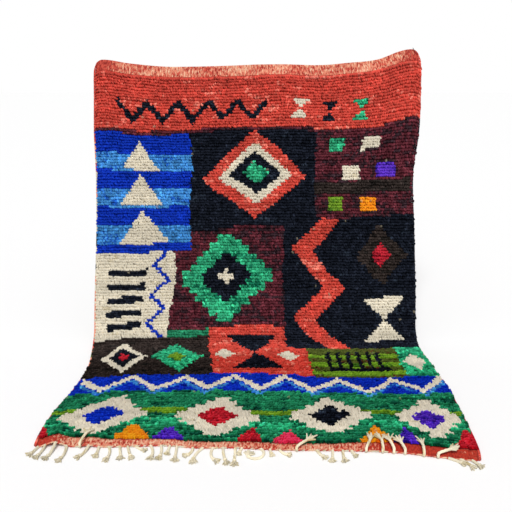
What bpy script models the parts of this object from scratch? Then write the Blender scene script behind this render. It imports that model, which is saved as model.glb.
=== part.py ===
"""Boujaad rug, hung by its top edge, with its foot swept forward over the floor.

Every piece is cut flat first: X across the rug, Y along it from the front edge, Z up from
its underside. The function laid() then takes each flat point to where the cloth hangs,
bends or lies. Metres, +Z up, the pile faces -Y where it hangs and +Z where it lies. The
origin is on the floor, under the middle of the stretch that lies flat.
"""
from collections import namedtuple
from math import cos, pi, radians, sin

import bmesh
import bpy
from mathutils import Vector

# ---- Driving sizes ----------------------------------------------------------------------
RUG_WIDTH = 1.60
RUG_LENGTH = 2.25
PILE_DEPTH = 0.018
HEADING_DEPTH = 0.004
TOP_HEADING = 0.052
FRONT_HEADING = 0.042
SELVEDGE_RADIUS = 0.0045
GAP = 0.0003

CORD_RADIUS = 0.0036
COMB_BACK = 0.010
COMB_DEPTH = 0.006

# ---- Shape in which it hangs and lies ---------------------------------------------------
# The length, from the front edge up: each stretch turns evenly through its angle.
Stretch = namedtuple("Stretch", "name length turn steps")
STRETCHES = (
    Stretch("lying", 0.78, 0.0, 8),
    Stretch("foot", 0.16, 68.0, 7),
    Stretch("rise", 0.34, 9.0, 4),
    Stretch("hang", 0.97, 5.0, 17),
)
LYING_LENGTH = STRETCHES[0].length

# How far each long edge stands out from its half width, by the place along the rug.
Edge = namedtuple("Edge", "along left right")
LONG_EDGES = (
    Edge(-0.06, 0.006, -0.040),
    Edge(0.05, 0.023, -0.006),
    Edge(0.22, 0.018, 0.008),
    Edge(0.42, -0.011, 0.015),
    Edge(0.62, -0.019, 0.002),
    Edge(0.85, 0.014, -0.011),
    Edge(1.10, 0.020, -0.006),
    Edge(1.40, 0.011, -0.013),
    Edge(1.70, 0.008, -0.024),
    Edge(1.90, 0.013, 0.001),
    Edge(2.10, 0.008, 0.003),
    Edge(2.205, 0.005, -0.001),
    Edge(2.25, -0.004, -0.012),
)

# How far the two short edges run past their nominal line, by the place across the rug.
End = namedtuple("End", "across past")
TOP_EDGE = (
    End(-0.80, -0.012),
    End(-0.765, 0.004),
    End(-0.64, -0.011),
    End(-0.47, -0.025),
    End(-0.33, -0.026),
    End(-0.16, -0.024),
    End(0.04, -0.017),
    End(0.14, -0.014),
    End(0.27, -0.019),
    End(0.43, -0.011),
    End(0.60, 0.009),
    End(0.70, 0.042),
    End(0.77, 0.053),
    End(0.80, 0.034),
)
FRONT_EDGE = (
    End(-0.80, 0.026),
    End(-0.72, 0.030),
    End(-0.56, 0.026),
    End(-0.44, 0.030),
    End(-0.32, 0.034),
    End(-0.20, 0.020),
    End(-0.08, 0.021),
    End(0.10, 0.009),
    End(0.35, 0.004),
    End(0.52, -0.007),
    End(0.64, -0.029),
    End(0.72, -0.044),
    End(0.80, -0.056),
)
FRONT_EASE = 0.55
TOP_EASE = 0.65

# Soft folds of the hanging cloth. across is the middle of the fold at the top edge, drift
# is how far it moves across for each metre down, and depth is positive towards the pile.
# A fold starts that far below the top edge and dies out within its reach below that.
Fold = namedtuple("Fold", "name across drift half_width depth start reach")
FOLDS = (
    Fold("left swag", -0.42, 0.12, 0.36, -0.020, 0.0, 0.75),
    Fold("left corner crease", -0.72, 0.55, 0.10, 0.011, 0.0, 0.42),
    Fold("middle ridge", 0.06, 0.55, 0.15, 0.024, 0.0, 0.62),
    Fold("middle hollow", 0.33, 0.30, 0.17, -0.020, 0.0, 0.60),
    Fold("right corner crease", 0.70, -0.75, 0.11, 0.018, 0.0, 0.55),
    Fold("right swag", 0.52, -0.10, 0.20, -0.010, 0.10, 0.95),
    Fold("middle roll", 0.10, 0.0, 0.17, -0.036, 0.0, 0.095),
    Fold("right roll", 0.58, 0.0, 0.16, -0.022, 0.0, 0.085),
    Fold("lower belly", -0.18, 0.05, 0.55, 0.016, 0.65, 0.72),
)
FOLD_FADE = 0.25

# Where the front edge doesn't lie down: the underside is off the floor there.
Ruffle = namedtuple("Ruffle", "across half_width height reach")
RUFFLES = (
    Ruffle(-0.725, 0.060, 0.017, 0.17),
    Ruffle(-0.600, 0.050, 0.007, 0.12),
)
RUFFLE_FRONT = 0.060

# Tassels that lie forward on the floor: where each leaves the front edge, the way it sets
# off and how far it curls round (degrees, to the right), and its length.
Lying = namedtuple("Lying", "root aim curl length")
LYING_TASSELS = (
    Lying(-0.784, -22, -12, 0.054),
    Lying(-0.758, -16, -10, 0.070),
    Lying(-0.720, -14, -15, 0.078),
    Lying(-0.681, 4, -28, 0.090),
    Lying(-0.599, -10, -40, 0.075),
    Lying(-0.562, -4, 0, 0.056),
    Lying(-0.526, 21, -45, 0.084),
    Lying(-0.487, 10, 2, 0.072),
    Lying(-0.458, 13, 10, 0.074),
    Lying(-0.428, 34, 40, 0.046),
    Lying(-0.376, 31, -50, 0.083),
    Lying(-0.337, 14, -26, 0.076),
    Lying(-0.305, -6, 0, 0.049),
    Lying(-0.279, 1, 0, 0.082),
    Lying(-0.220, 8, -70, 0.063),
    Lying(-0.183, -41, 45, 0.091),
    Lying(-0.146, -22, 76, 0.092),
    Lying(-0.110, 5, 16, 0.094),
    Lying(-0.066, 6, -10, 0.097),
    Lying(-0.042, -14, 0, 0.034),
    Lying(0.027, 54, -252, 0.138),
    Lying(0.060, 12, 12, 0.034),
    Lying(0.095, 24, 60, 0.052),
    Lying(0.229, 24, 30, 0.056),
    Lying(0.286, 6, -10, 0.064),
    Lying(0.323, 3, 15, 0.064),
    Lying(0.354, 20, 20, 0.034),
    Lying(0.690, 76, -22, 0.063),
    Lying(0.730, 58, -18, 0.061),
    Lying(0.769, 50, -10, 0.047),
)
# Tassels thrown back over the front edge: how far across and back the tip lands, and how
# much higher it lies where it crosses another.
Thrown = namedtuple("Thrown", "root across back over")
THROWN_TASSELS = (
    Thrown(-0.631, 0.026, 0.088, 0.0),
    Thrown(0.157, 0.061, 0.056, 0.0),
    Thrown(0.407, 0.022, 0.075, 0.0),
    Thrown(0.466, -0.010, 0.079, 0.0),
    Thrown(0.505, -0.028, 0.074, 0.0),
    Thrown(0.544, -0.029, 0.062, 0.0),
    Thrown(0.608, -0.008, 0.062, 0.0),
    Thrown(0.656, 0.070, 0.040, 0.0),
)
# A thrown tassel's turn: the places along the rug and the heights its cord goes through.
Turn = namedtuple("Turn", "along height")
TURN_BACK = (
    Turn(-0.0055, 0.0040),
    Turn(-0.0200, 0.0060),
    Turn(-0.0280, 0.0140),
    Turn(-0.0210, 0.0206),
)
OVER_PILE = 0.001
# Along a tassel: the share of its length, and its thickness as a multiple of the cord's.
Girth = namedtuple("Girth", "share thick")
TASSEL_GIRTHS = (
    Girth(0.00, 1.0),
    Girth(0.32, 1.0),
    Girth(0.64, 1.0),
    Girth(0.75, 1.9),
    Girth(0.86, 1.4),
    Girth(1.00, 1.8),
)
CURL_STEP = 30.0

SHARP_ANGLE = radians(40)
WELD = 0.00001
END_CLEAR = 0.012

HALF_WIDTH = RUG_WIDTH / 2
TOP_HEADING_START = RUG_LENGTH - TOP_HEADING
FIELD_HALF = HALF_WIDTH - 2 * SELVEDGE_RADIUS - GAP
# Every strip has its points at the same places across, so that neighbours' edges match.
Bay = namedtuple("Bay", "start end steps")
BAYS = (
    Bay(-FIELD_HALF, -0.55, 10),
    Bay(-0.55, FIELD_HALF, 26),
)


# ---- The flat rug's map to its hanging shape --------------------------------------------
def through(points, place):
    """Read a smooth curve through (place, value) points, level beyond its ends."""
    places = [point[0] for point in points]
    values = [point[1] for point in points]
    if place <= places[0]:
        return values[0]
    if place >= places[-1]:
        return values[-1]
    last = len(points) - 1
    low = max(i for i in range(last) if places[i] <= place)

    def slope(i):
        before, after = max(i - 1, 0), min(i + 1, last)
        return (values[after] - values[before]) / (places[after] - places[before])

    span = places[low + 1] - places[low]
    u = (place - places[low]) / span
    rise = values[low + 1] - values[low]
    start, end = slope(low) * span, slope(low + 1) * span
    return values[low] + u * start + u * u * (3 * rise - 2 * start - end) \
        + u * u * u * (start + end - 2 * rise)


def hump(u):
    """1 at u = 0, falling smoothly to 0 at u = -1 and u = 1."""
    return (1 + cos(pi * u)) / 2 if abs(u) < 1 else 0.0


def ease(u):
    """0 up to u = 0, rising smoothly to 1 from u = 1 on."""
    u = min(max(u, 0.0), 1.0)
    return u * u * (3 - 2 * u)


def profile(travel):
    """The back-to-front and upward place after this travel up the rug, and its slope."""
    y, z, slope = -LYING_LENGTH / 2, 0.0, 0.0
    left = travel
    for stretch in STRETCHES:
        is_last = stretch is STRETCHES[-1]
        part = left if is_last else min(left, stretch.length)
        bend = radians(stretch.turn) / stretch.length
        if bend:
            y += (sin(slope + bend * part) - sin(slope)) / bend
            z += (cos(slope) - cos(slope + bend * part)) / bend
            slope += bend * part
        else:
            y += part * cos(slope)
            z += part * sin(slope)
        left -= part
        if left <= 0:
            break
    return y, z, slope


def fold_depth(across, below):
    """How far the folds push the cloth towards its pile, this far below the top edge."""
    depth = 0.0
    for fold in FOLDS:
        middle = fold.across + fold.drift * below
        fade = ease((below - fold.start) / FOLD_FADE) if fold.start else 1.0
        fade *= hump(max(below - fold.start, 0.0) / fold.reach)
        depth += fold.depth * fade * hump((across - middle) / fold.half_width)
    return depth


def ruffle_height(across, along):
    """How far the front edge's ruffles lift the cloth off the floor."""
    height = 0.0
    for ruffle in RUFFLES:
        reach = ruffle.reach if along > 0 else RUFFLE_FRONT
        lift = hump(along / reach) * hump((across - ruffle.across) / ruffle.half_width)
        height += ruffle.height * lift
    return height


def laid(flat):
    """Take a point of the flat rug to its place on the hanging and lying rug."""
    across, along, height = flat
    front = through(FRONT_EDGE, across) * (1 - ease(along / FRONT_EASE))
    top = through(TOP_EDGE, across) * ease((along - RUG_LENGTH + TOP_EASE) / TOP_EASE)
    left = through([(row.along, row.left) for row in LONG_EDGES], along)
    right = through([(row.along, row.right) for row in LONG_EDGES], along)
    share = (across + HALF_WIDTH) / RUG_WIDTH
    y, z, slope = profile(along + front + top)
    lift = height + fold_depth(across, RUG_LENGTH - along) + ruffle_height(across, along)
    x = across + right * share - left * (1 - share)
    return Vector((x, y - sin(slope) * lift, z + cos(slope) * lift))


def places_across():
    """Places across the rug at which every strip gets a column of points."""
    places = [-FIELD_HALF]
    for bay in BAYS:
        for step in range(1, bay.steps + 1):
            places.append(bay.start + (bay.end - bay.start) * step / bay.steps)
    return places


def band_places(low, high):
    """Places along the rug at which a heading gets a row of points."""
    return [low, (low + high) / 2, high]


def field_places(low, high):
    """Places along the rug at which the pile gets a row of points, closest at the foot."""
    places, start = [low], 0.0
    for stretch in STRETCHES:
        for step in range(stretch.steps):
            place = start + stretch.length * step / stretch.steps
            if low + END_CLEAR < place < high - END_CLEAR:
                places.append(place)
        start += stretch.length
    return places + [high]


# ---- Making and draping the pieces ------------------------------------------------------
def plain_material(name, colour, roughness):
    material = bpy.data.materials.new(name)
    material.use_nodes = True
    shader = material.node_tree.nodes["Principled BSDF"]
    shader.inputs["Base Color"].default_value = (*colour, 1.0)
    shader.inputs["Roughness"].default_value = roughness
    shader.inputs["Metallic"].default_value = 0.0
    return material


def as_mesh(thing, collection):
    """Replace an object by a plain mesh of what it shows, with its doubled points merged."""
    bpy.context.view_layer.update()
    shown = thing.evaluated_get(bpy.context.evaluated_depsgraph_get())
    mesh = bpy.data.meshes.new_from_object(shown)
    name = thing.name
    bpy.data.objects.remove(thing)
    shape = bmesh.new()
    shape.from_mesh(mesh)
    bmesh.ops.remove_doubles(shape, verts=shape.verts, dist=WELD)
    shape.to_mesh(mesh)
    shape.free()
    piece = bpy.data.objects.new(name, mesh)
    collection.objects.link(piece)
    return piece


def drape(piece, material):
    """Hang a flat piece: every point goes to its place on the hanging rug."""
    for point in piece.data.vertices:
        point.co = laid(point.co)
    piece.data.materials.clear()
    piece.data.materials.append(material)
    piece.data.shade_smooth()
    piece.data.set_sharp_from_angle(angle=SHARP_ANGLE)
    return piece


def flat_strip(name, collection, places, depth):
    """A flat piece from selvedge to selvedge, with a row of points at each place along."""
    columns = places_across()
    shape = bmesh.new()
    bmesh.ops.create_grid(shape, x_segments=len(columns) - 1, y_segments=len(places) - 1, size=1.0)
    for point in shape.verts:
        column = round((point.co.x + 1) / 2 * (len(columns) - 1))
        row = round((point.co.y + 1) / 2 * (len(places) - 1))
        point.co = (columns[column], places[row], 0.0)
    mesh = bpy.data.meshes.new(name)
    shape.to_mesh(mesh)
    shape.free()
    piece = bpy.data.objects.new(name, mesh)
    collection.objects.link(piece)
    thick = piece.modifiers.new("thickness", "SOLIDIFY")
    thick.thickness = depth
    thick.offset = 1.0
    return as_mesh(piece, collection)


def flat_cords(name, collection, routes, radius, resolution):
    """Closed tubes along routes of flat points, each point with its share of the radius."""
    curve = bpy.data.curves.new(name, "CURVE")
    curve.dimensions = "3D"
    curve.bevel_depth = radius
    curve.bevel_resolution = resolution
    curve.use_fill_caps = True
    for route in routes:
        spline = curve.splines.new("POLY")
        spline.points.add(len(route) - 1)
        for point, (place, share) in zip(spline.points, route):
            point.co = (*place, 1.0)
            point.radius = share
    cords = bpy.data.objects.new(name, curve)
    collection.objects.link(cords)
    return as_mesh(cords, collection)


# ---- The rug's pieces -------------------------------------------------------------------
def make_field(collection):
    """The knotted pile between the two headings and the two selvedges."""
    places = field_places(FRONT_HEADING + GAP, TOP_HEADING_START - GAP)
    field = flat_strip("pile_field", collection, places, PILE_DEPTH)
    return drape(field, plain_material("pile wool", (0.16, 0.06, 0.05), 0.9))


def make_heading(name, collection, low, high):
    """A flat-woven band, without pile, at one end of the rug."""
    heading = flat_strip(name, collection, band_places(low, high), HEADING_DEPTH)
    return drape(heading, plain_material(name + " weave", (0.58, 0.10, 0.05), 0.9))


def make_selvedge(name, collection, side):
    """The bundle of edge warps down one side, overcast with wool into a round cord."""
    centre = side * (HALF_WIDTH - SELVEDGE_RADIUS)
    places = band_places(0.0, FRONT_HEADING)
    places += field_places(FRONT_HEADING, TOP_HEADING_START)[1:-1]
    places += band_places(TOP_HEADING_START, RUG_LENGTH)
    route = [((centre, place, SELVEDGE_RADIUS), 1.0) for place in places]
    selvedge = flat_cords(name, collection, [route], SELVEDGE_RADIUS, 1)
    return drape(selvedge, plain_material(name + " wool", (0.60, 0.08, 0.04), 0.9))


def lying_route(tassel):
    """The route of a tassel that lies forward on the floor: cord, knot and brush."""
    across, along = tassel.root, -GAP - COMB_BACK / 2
    route, done = [], 0.0
    for girth in TASSEL_GIRTHS:
        steps = max(1, round(abs(tassel.curl) * (girth.share - done) / CURL_STEP))
        for step in range(steps):
            part = (girth.share - done) / steps
            heading = radians(tassel.aim + tassel.curl * (done + part * (step + 0.5)))
            across += sin(heading) * part * tassel.length
            along -= cos(heading) * part * tassel.length
            if step < steps - 1:
                route.append(((across, along, CORD_RADIUS + GAP), 1.0))
        route.append(((across, along, CORD_RADIUS * girth.thick + GAP), girth.thick))
        done = girth.share
    return route


def thrown_route(tassel):
    """The route of a tassel that turns up and back, and lies on the heading and the pile."""
    on_pile = PILE_DEPTH + OVER_PILE + CORD_RADIUS
    route = [((tassel.root, turn.along, turn.height), 1.0) for turn in TURN_BACK]
    start = TURN_BACK[-1].along
    for girth in TASSEL_GIRTHS[1:]:
        height = on_pile + CORD_RADIUS * (girth.thick - 1) + tassel.over * ease(girth.share / 0.5)
        along = start + (tassel.back - start) * girth.share
        route.append(((tassel.root + tassel.across * girth.share, along, height), girth.thick))
    return route


def make_fringe(collection):
    """The knotted warp ends along the front edge, as one comb."""
    back = flat_strip("fringe", collection, [-GAP - COMB_BACK, -GAP], COMB_DEPTH)
    drape(back, plain_material("fringe cotton", (0.72, 0.66, 0.50), 0.9))
    routes = [lying_route(tassel) for tassel in LYING_TASSELS]
    routes += [thrown_route(tassel) for tassel in THROWN_TASSELS]
    tassels = flat_cords("tassels", collection, routes, CORD_RADIUS, 0)
    drape(tassels, back.data.materials[0])
    joined = back.modifiers.new("tassels", "BOOLEAN")
    joined.operation = "UNION"
    joined.object = tassels
    comb = as_mesh(back, collection)
    bpy.data.objects.remove(tassels)
    return comb


def build():
    for thing in list(bpy.data.objects):
        bpy.data.objects.remove(thing)
    collection = bpy.data.collections.new("boujaad_rug")
    bpy.context.scene.collection.children.link(collection)
    make_field(collection)
    make_heading("heading_top", collection, TOP_HEADING_START, RUG_LENGTH)
    make_heading("heading_front", collection, 0.0, FRONT_HEADING)
    make_selvedge("selvedge_left", collection, -1)
    make_selvedge("selvedge_right", collection, 1)
    make_fringe(collection)


build()
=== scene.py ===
# %% [markdown]
# # A boujaad rug, hung by its top edge
# A boujaad is a hand-knotted wool rug with a thick, shaggy pile. Here one hangs by its flat
# top heading, and its foot sweeps forward over the floor. The lesson weaves it the way a
# weaver does: everything is made flat first, at its real size, and the finished rug is then
# hung. One function takes each flat point to its place on the hanging rug, so the weave, the
# knots and the fringe all follow the same folds.

from collections import namedtuple
from math import pi, radians

import bpy
import numpy as np
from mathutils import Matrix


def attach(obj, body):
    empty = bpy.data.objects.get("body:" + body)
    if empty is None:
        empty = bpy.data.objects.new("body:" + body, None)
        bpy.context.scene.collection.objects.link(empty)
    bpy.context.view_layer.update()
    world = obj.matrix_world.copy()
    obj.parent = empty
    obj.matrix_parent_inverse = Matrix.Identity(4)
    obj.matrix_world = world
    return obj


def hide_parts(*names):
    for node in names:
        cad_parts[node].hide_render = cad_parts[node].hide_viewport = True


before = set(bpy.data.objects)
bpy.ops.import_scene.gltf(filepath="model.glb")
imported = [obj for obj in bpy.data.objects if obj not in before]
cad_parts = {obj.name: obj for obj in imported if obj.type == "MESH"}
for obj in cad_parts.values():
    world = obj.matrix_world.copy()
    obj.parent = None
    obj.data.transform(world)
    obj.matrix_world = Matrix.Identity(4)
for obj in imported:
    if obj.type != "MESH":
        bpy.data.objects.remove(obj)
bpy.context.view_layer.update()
print("CAD nodes:", sorted(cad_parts))

# %% [markdown]
# ## Camera
# The camera is set before anything else, so that each piece can be judged in the same view.
# It stands in front of the rug at a person's height, a little left of the middle, and looks
# down at it. The small shift slides the picture without tilting the camera.

# %% Camera
CAMERA_PLACE = (-0.009, -2.262, 1.337)
CAMERA_DOWN = 15.323
CAMERA_LENS = 42.19
CAMERA_SHIFT = -0.05


def new_object(name, data):
    """Put a new object with this data in the scene."""
    made = bpy.data.objects.new(name, data)
    bpy.context.scene.collection.objects.link(made)
    return made


camera = new_object("camera", bpy.data.cameras.new("camera"))
camera.data.lens = CAMERA_LENS
camera.data.shift_y = CAMERA_SHIFT
camera.location = CAMERA_PLACE
camera.rotation_euler = (radians(90 - CAMERA_DOWN), 0.0, 0.0)
bpy.context.scene.camera = camera
print("camera at", CAMERA_PLACE, "metres")

# %% [markdown]
# ## Light and floor
# Wool shows its rows by the small shadows between them, so the light has to come mostly from
# above and in front, and it has to be soft. A wide sun gives an even floor right out to the
# horizon, which lamps near the rug would not, and a pale world fills the shadows. The world
# looks white to the camera and lights the rug a little less than that.

# %% Light and floor
SUN_STRENGTH = 2.6
SUN_WIDTH = 22.0
SUN_TURN = (34.0, 0.0, -8.0)
FILL_STRENGTH = 0.45
FLOOR_SIZE = 60.0
FLOOR_DROP = 0.0005
FLOOR_PAINT = {"Base Color": (0.89, 0.89, 0.89, 1.0), "Roughness": 0.9, "Specular IOR Level": 0.1}

sun = new_object("sun", bpy.data.lights.new("sun", "SUN"))
sun.data.energy = SUN_STRENGTH
sun.data.angle = radians(SUN_WIDTH)
sun.rotation_euler = [radians(turn) for turn in SUN_TURN]

world = bpy.data.worlds.new("studio")
world.use_nodes = True
bpy.context.scene.world = world
backdrop = world.node_tree.nodes["Background"]
backdrop.inputs["Color"].default_value = (1.0, 1.0, 1.0, 1.0)
seen = world.node_tree.nodes.new("ShaderNodeLightPath")
level = world.node_tree.nodes.new("ShaderNodeMapRange")
level.inputs["To Min"].default_value = FILL_STRENGTH
world.node_tree.links.new(seen.outputs["Is Camera Ray"], level.inputs["Value"])
world.node_tree.links.new(level.outputs["Result"], backdrop.inputs["Strength"])
bpy.context.scene.view_settings.view_transform = "Standard"

bpy.ops.mesh.primitive_plane_add(size=FLOOR_SIZE, location=(0.0, 0.0, -FLOOR_DROP))
floor = bpy.context.active_object
floor.name = "floor"
paint = bpy.data.materials.new("pale floor")
paint.use_nodes = True
for label, value in FLOOR_PAINT.items():
    paint.node_tree.nodes["Principled BSDF"].inputs[label].default_value = value
floor.data.materials.append(paint)
print("the sun is", SUN_WIDTH, "degrees wide; the floor is", FLOOR_SIZE, "metres wide")

# %% [markdown]
# ## The rug's sizes
# These are the rug's own measures, laid flat: 1.60 m by 2.25 m, with a flat-woven heading at
# each end, a wrapped selvedge down each side and the knotted pile between them. The tables
# say how it hangs: how far each stretch of its length turns, how its four edges wander, and
# where its soft folds are. They are the same as in the CAD part, which holds its solids.

# %% The rug's sizes
RUG_WIDTH = 1.60
RUG_LENGTH = 2.25
PILE_DEPTH = 0.018
HEADING_DEPTH = 0.004
TOP_HEADING = 0.052
FRONT_HEADING = 0.042
SELVEDGE_RADIUS = 0.0045
CORD_RADIUS = 0.0036
COMB_BACK = 0.010
HALF_WIDTH = RUG_WIDTH / 2
FIELD_HALF = HALF_WIDTH - 2 * SELVEDGE_RADIUS
FIELD_START = FRONT_HEADING
FIELD_END = RUG_LENGTH - TOP_HEADING

Stretch = namedtuple("Stretch", "length turn")
STRETCHES = (Stretch(0.78, 0.0), Stretch(0.16, 68.0), Stretch(0.34, 9.0), Stretch(0.97, 5.0))
LYING_LENGTH = STRETCHES[0].length

# Each place along the rug, and how far out the left and the right edge stray there.
LONG_EDGES = (
    (-0.06, 0.006, -0.040), (0.05, 0.023, -0.006), (0.22, 0.018, 0.008), (0.42, -0.011, 0.015),
    (0.62, -0.019, 0.002), (0.85, 0.014, -0.011), (1.10, 0.020, -0.006), (1.40, 0.011, -0.013),
    (1.70, 0.008, -0.024), (1.90, 0.013, 0.001), (2.10, 0.008, 0.003), (2.205, 0.005, -0.001),
    (2.25, -0.004, -0.012),
)
# Each place across the rug, and how far up the rug the top and the front edge stray there.
TOP_EDGE = (
    (-0.80, -0.012), (-0.765, 0.004), (-0.64, -0.011), (-0.47, -0.025), (-0.33, -0.026),
    (-0.16, -0.024), (0.04, -0.017), (0.14, -0.014), (0.27, -0.019), (0.43, -0.011),
    (0.60, 0.009), (0.70, 0.042), (0.77, 0.053), (0.80, 0.034),
)
FRONT_EDGE = (
    (-0.80, 0.026), (-0.72, 0.030), (-0.56, 0.026), (-0.44, 0.030), (-0.32, 0.034),
    (-0.20, 0.020), (-0.08, 0.021), (0.10, 0.009), (0.35, 0.004), (0.52, -0.007),
    (0.64, -0.029), (0.72, -0.044), (0.80, -0.056),
)
FRONT_EASE = 0.55
TOP_EASE = 0.65

Fold = namedtuple("Fold", "across drift half_width depth start reach")
FOLDS = (
    Fold(-0.42, 0.12, 0.36, -0.020, 0.0, 0.75),
    Fold(-0.72, 0.55, 0.10, 0.011, 0.0, 0.42),
    Fold(0.06, 0.55, 0.15, 0.024, 0.0, 0.62),
    Fold(0.33, 0.30, 0.17, -0.020, 0.0, 0.60),
    Fold(0.70, -0.75, 0.11, 0.018, 0.0, 0.55),
    Fold(0.52, -0.10, 0.20, -0.010, 0.10, 0.95),
    Fold(0.10, 0.0, 0.17, -0.036, 0.0, 0.095),
    Fold(0.58, 0.0, 0.16, -0.022, 0.0, 0.085),
    Fold(-0.18, 0.05, 0.55, 0.016, 0.65, 0.72),
)
FOLD_FADE = 0.25
Ruffle = namedtuple("Ruffle", "across half_width height reach")
RUFFLES = (Ruffle(-0.725, 0.060, 0.017, 0.17), Ruffle(-0.600, 0.050, 0.007, 0.12))
RUFFLE_FRONT = 0.060
print("the rug is", RUG_WIDTH, "by", RUG_LENGTH, "metres flat")

# %% [markdown]
# ## Hanging the rug
# A flat point has three numbers: how far across the rug it is, how far along from the front
# edge, and how high above the rug's back. The functions below work on whole arrays of points
# at once, because the pile alone has hundreds of thousands. `profile` walks up the rug and
# bends it at the foot, the edge tables pull its outline about, and the folds push it along
# its own outward direction.

# %% Hanging the rug
def through(points, places):
    """Read a smooth curve through (place, value) points, level beyond its ends."""
    known, values = np.array(points, float).T
    slopes = np.empty_like(values)
    slopes[1:-1] = (values[2:] - values[:-2]) / (known[2:] - known[:-2])
    slopes[0] = (values[1] - values[0]) / (known[1] - known[0])
    slopes[-1] = (values[-1] - values[-2]) / (known[-1] - known[-2])
    low = np.clip(np.searchsorted(known, places, side="right") - 1, 0, len(known) - 2)
    span = known[low + 1] - known[low]
    u = np.clip((places - known[low]) / span, 0.0, 1.0)
    rise = values[low + 1] - values[low]
    start, end = slopes[low] * span, slopes[low + 1] * span
    return (values[low] + u * start + u**2 * (3 * rise - 2 * start - end)
            + u**3 * (start + end - 2 * rise))


def hump(u):
    """1 at u = 0, falling smoothly to 0 at u = -1 and u = 1."""
    return np.where(np.abs(u) < 1, (1 + np.cos(pi * u)) / 2, 0.0)


def ease(u):
    """0 up to u = 0, rising smoothly to 1 from u = 1 on."""
    u = np.clip(u, 0.0, 1.0)
    return u * u * (3 - 2 * u)


def profile(travel):
    """The back-to-front and upward places after this travel up the rug, and the slope."""
    y = np.full_like(travel, -LYING_LENGTH / 2)
    z, slope, left = np.zeros_like(travel), np.zeros_like(travel), travel.copy()
    for stretch in STRETCHES:
        part = left if stretch is STRETCHES[-1] else np.minimum(left, stretch.length)
        bend = radians(stretch.turn) / stretch.length
        if bend:
            y = y + (np.sin(slope + bend * part) - np.sin(slope)) / bend
            z = z + (np.cos(slope) - np.cos(slope + bend * part)) / bend
            slope = slope + bend * part
        else:
            y = y + part * np.cos(slope)
            z = z + part * np.sin(slope)
        left = left - part
    return y, z, slope


def fold_depth(across, below):
    """How far the folds push the cloth towards its pile, this far below the top edge."""
    depth = np.zeros_like(across)
    for fold in FOLDS:
        middle = fold.across + fold.drift * below
        fade = ease((below - fold.start) / FOLD_FADE) if fold.start else 1.0
        fade = fade * hump(np.maximum(below - fold.start, 0.0) / fold.reach)
        depth += fold.depth * fade * hump((across - middle) / fold.half_width)
    return depth


def ruffle_height(across, along):
    """How far the front edge's ruffles lift the cloth off the floor."""
    height = np.zeros_like(across)
    for ruffle in RUFFLES:
        reach = np.where(along > 0, ruffle.reach, RUFFLE_FRONT)
        lift = hump(along / reach) * hump((across - ruffle.across) / ruffle.half_width)
        height += ruffle.height * lift
    return height


def laid(flat):
    """Take flat points (one row each) to their places on the hanging and lying rug."""
    across, along, height = np.asarray(flat, float).T
    front = through(FRONT_EDGE, across) * (1 - ease(along / FRONT_EASE))
    top = through(TOP_EDGE, across) * ease((along - RUG_LENGTH + TOP_EASE) / TOP_EASE)
    left = through([row[:2] for row in LONG_EDGES], along)
    right = through([row[::2] for row in LONG_EDGES], along)
    share = (across + HALF_WIDTH) / RUG_WIDTH
    y, z, slope = profile(along + front + top)
    lift = height + fold_depth(across, RUG_LENGTH - along) + ruffle_height(across, along)
    x = across + right * share - left * (1 - share)
    return np.stack([x, y - np.sin(slope) * lift, z + np.cos(slope) * lift], axis=1)


corners = laid([(-FIELD_HALF, FIELD_START, 0), (FIELD_HALF, FIELD_END, PILE_DEPTH)])
print("field corners:", np.round(corners, 3).tolist())

# %% [markdown]
# ## Helpers
# A few small helpers do most of the work. `Nodes` adds nodes to a tree and wires each one up
# in a single line. `run_tree` runs a Geometry Nodes tree on an object and keeps the plain mesh
# that comes out. `hang` sends all the points of a flat piece through `laid` at once. And
# `smooth_noise` makes the soft hills that keep every row and every dye a little uneven.

# %% Helpers
class Nodes:
    """A node tree, with short ways to add to it."""

    def __init__(self, tree):
        self.tree = tree

    def give(self, socket, value):
        """Link a socket to another one, or set it to a value."""
        if isinstance(value, bpy.types.NodeSocket):
            self.tree.links.new(value, socket)
        else:
            socket.default_value = value

    def add(self, kind, inputs=None, **settings):
        """Add a node; each input is either a socket to link from or a value to set."""
        made = self.tree.nodes.new(kind)
        for name, value in settings.items():
            setattr(made, name, value)
        for name, value in (inputs or {}).items():
            self.give(made.inputs[name], value)
        return made

    def out(self, kind, inputs=None, **settings):
        """Add a node, and give the first of its outputs."""
        return self.add(kind, inputs, **settings).outputs[0]

    def math(self, operation, *values):
        """One step of arithmetic."""
        return self.out("ShaderNodeMath", dict(enumerate(values)), operation=operation)

    def stored(self, name):
        """A number kept on each point under this name."""
        return self.out("GeometryNodeInputNamedAttribute", {"Name": name}, data_type="FLOAT")

    def ramp(self, value, low=0.0, high=1.0, to_low=0.0, to_high=1.0):
        """A number that goes from to_low to to_high while the value goes from low to high."""
        return self.out("ShaderNodeMapRange", {"Value": value, "From Min": low, "From Max": high,
                                               "To Min": to_low, "To Max": to_high})


def new_tree(name, numbers):
    """A Geometry Nodes tree with a geometry input and output and these named numbers."""
    tree = bpy.data.node_groups.new(name, "GeometryNodeTree")
    for way in ("INPUT", "OUTPUT"):
        tree.interface.new_socket("Geometry", in_out=way, socket_type="NodeSocketGeometry")
    for label, value in numbers.items():
        kind = "NodeSocketInt" if isinstance(value, int) else "NodeSocketFloat"
        socket = tree.interface.new_socket(label, in_out="INPUT", socket_type=kind)
        socket.default_value = value
    tree.interface.new_socket("Finish", in_out="INPUT", socket_type="NodeSocketMaterial")
    return Nodes(tree), tree.nodes.new("NodeGroupInput").outputs


def finish_tree(nodes, geometry, given):
    """End a tree as every tree here ends: real meshes, with their finish."""
    real = nodes.out("GeometryNodeRealizeInstances", {"Geometry": geometry})
    worn = nodes.out("GeometryNodeSetMaterial", {"Geometry": real, "Material": given["Finish"]})
    nodes.add("NodeGroupOutput", {"Geometry": worn})
    return nodes.tree


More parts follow.
